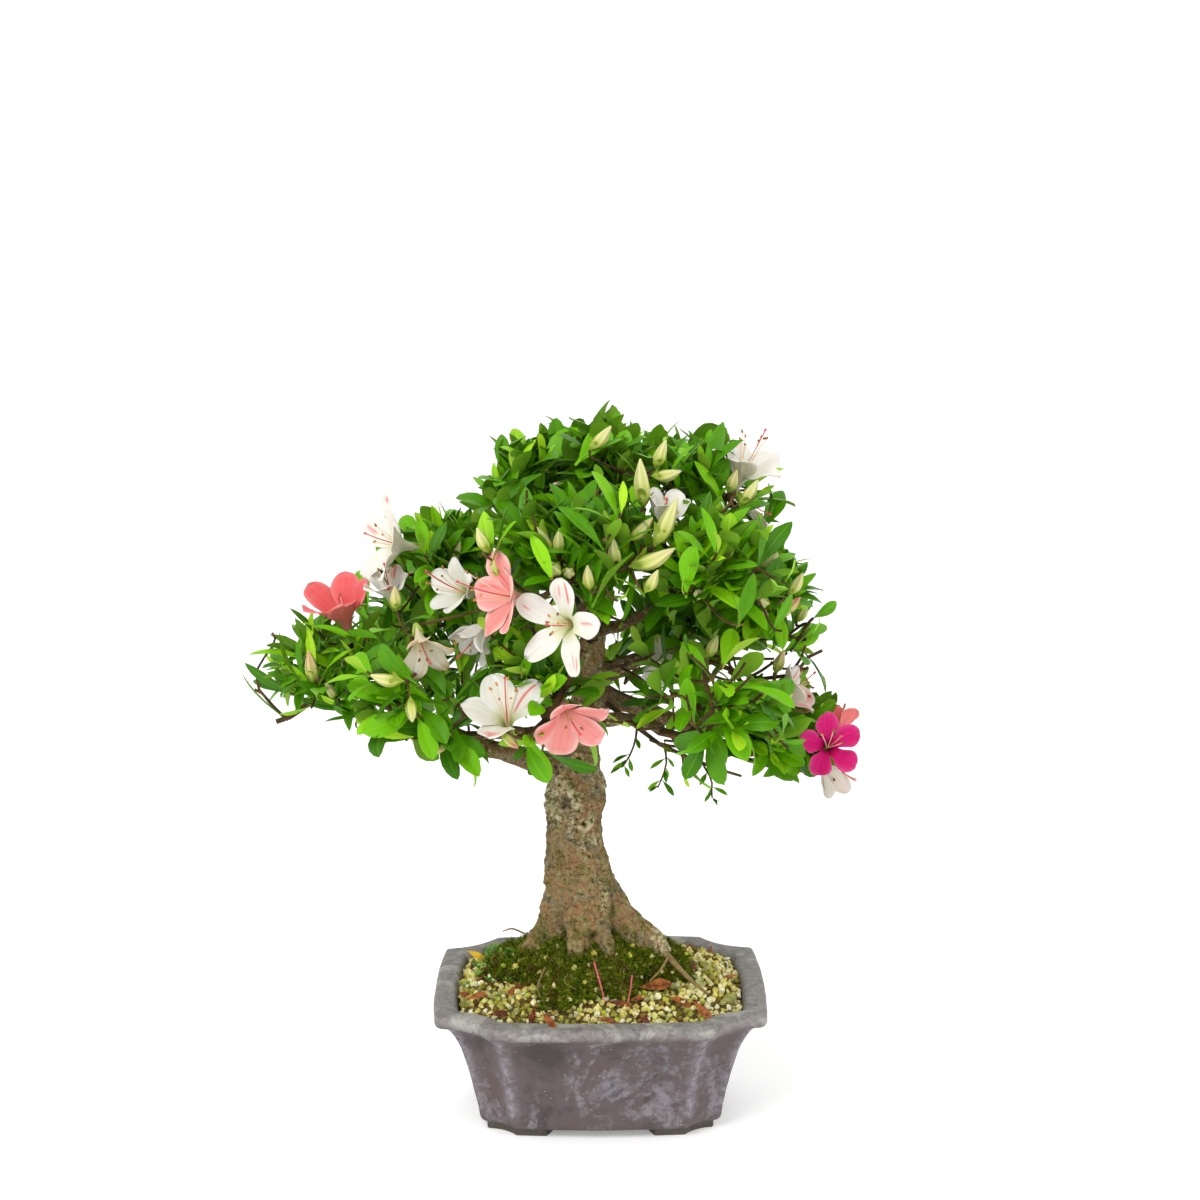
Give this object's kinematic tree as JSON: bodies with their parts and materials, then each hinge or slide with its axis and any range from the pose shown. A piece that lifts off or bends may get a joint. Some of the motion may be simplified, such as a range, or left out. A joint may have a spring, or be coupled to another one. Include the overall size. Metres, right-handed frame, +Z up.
{
  "type": "potted azalea bonsai",
  "caption": "Small flowering azalea bonsai with a leaning flared trunk and an open leafy crown, in an octagonal unglazed pot on low feet.",
  "frame": {"origin": "centre of the bounding box on the plane that the pot's feet stand on", "axes": "+X to the right of the front view, +Y from the front to the back, +Z up"},
  "size_m": [0.3788, 0.2914, 0.455],
  "materials": {
    "pot": "unglazed grey clay, rubbed pale in patches",
    "soil": "loose matt granules",
    "moss": "matt moss",
    "trunk": "rough bark",
    "boughs": "thin rough bark",
    "foliage": "glossy leaves, buds and flowers"
  },
  "bodies": {
    "root": {"bough_back": "boughs", "bough_front": "boughs", "bough_left_back": "boughs", "bough_left_front": "boughs", "bough_lower_left": "boughs", "bough_lower_right": "boughs", "bough_middle_right": "boughs", "bough_right_back": "boughs", "bough_right_front": "boughs", "bough_upper_back": "boughs", "bough_upper_front": "boughs", "bough_upper_left": "boughs", "bough_upper_right": "boughs", "foliage_back": "foliage", "foliage_far_left": "foliage", "foliage_far_right": "foliage", "foliage_front": "foliage", "foliage_left_back": "foliage", "foliage_left_front": "foliage", "foliage_middle_right": "foliage", "foliage_right_back": "foliage", "foliage_right_front": "foliage", "foliage_top": "foliage", "foliage_top_left": "foliage", "foliage_top_right": "foliage", "foliage_upper_back": "foliage", "foliage_upper_front": "foliage", "foliage_upper_left": "foliage", "foliage_upper_right": "foliage", "moss_mound": "moss", "pot": "pot", "soil": "soil", "trunk": "trunk"}
  },
  "joints": []
}
